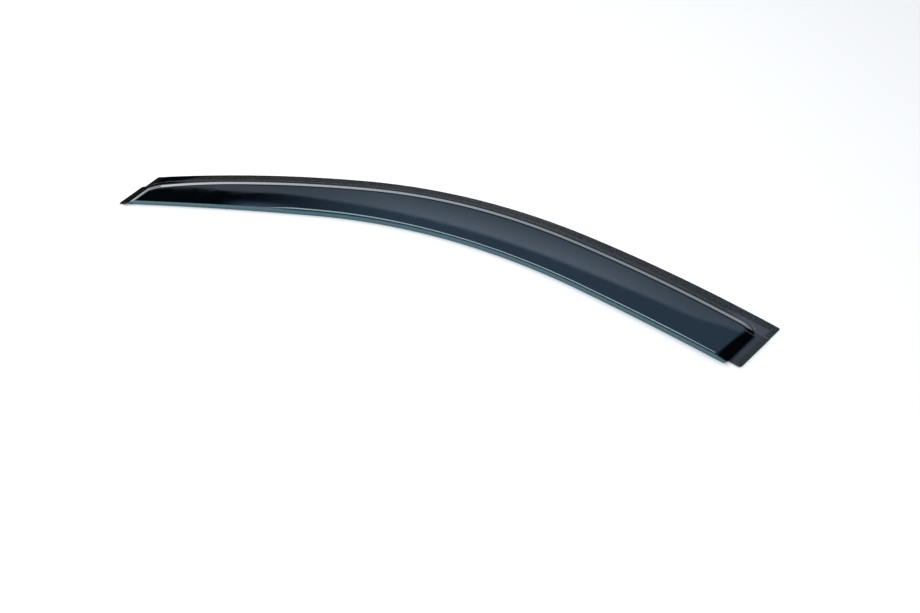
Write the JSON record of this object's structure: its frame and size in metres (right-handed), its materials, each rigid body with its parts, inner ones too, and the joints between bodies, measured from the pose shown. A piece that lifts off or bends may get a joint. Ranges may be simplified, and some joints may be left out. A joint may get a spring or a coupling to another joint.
{
  "type": "window rain deflector",
  "caption": "Arched, smoke-tinted acrylic visor with a taped roof flange, a raised crowned panel and a turned-down lip, stuck above a car's front side window to keep rain out.",
  "frame": {"origin": "on the back of the roof tape, halfway along the visor's roof edge", "axes": "+X along the door from the pointed end to the square end, +Y up towards the roof, +Z out from the door"},
  "size_m": [0.9638, 0.1523, 0.0126],
  "materials": {
    "smoked_acrylic": "high gloss, smoke tinted",
    "foam_tape": "matte closed-cell foam"
  },
  "bodies": {
    "root": {"visor": "smoked_acrylic", "roof_tape": "foam_tape", "pointed_end_tape": "foam_tape", "square_end_tape": "foam_tape"}
  },
  "joints": []
}
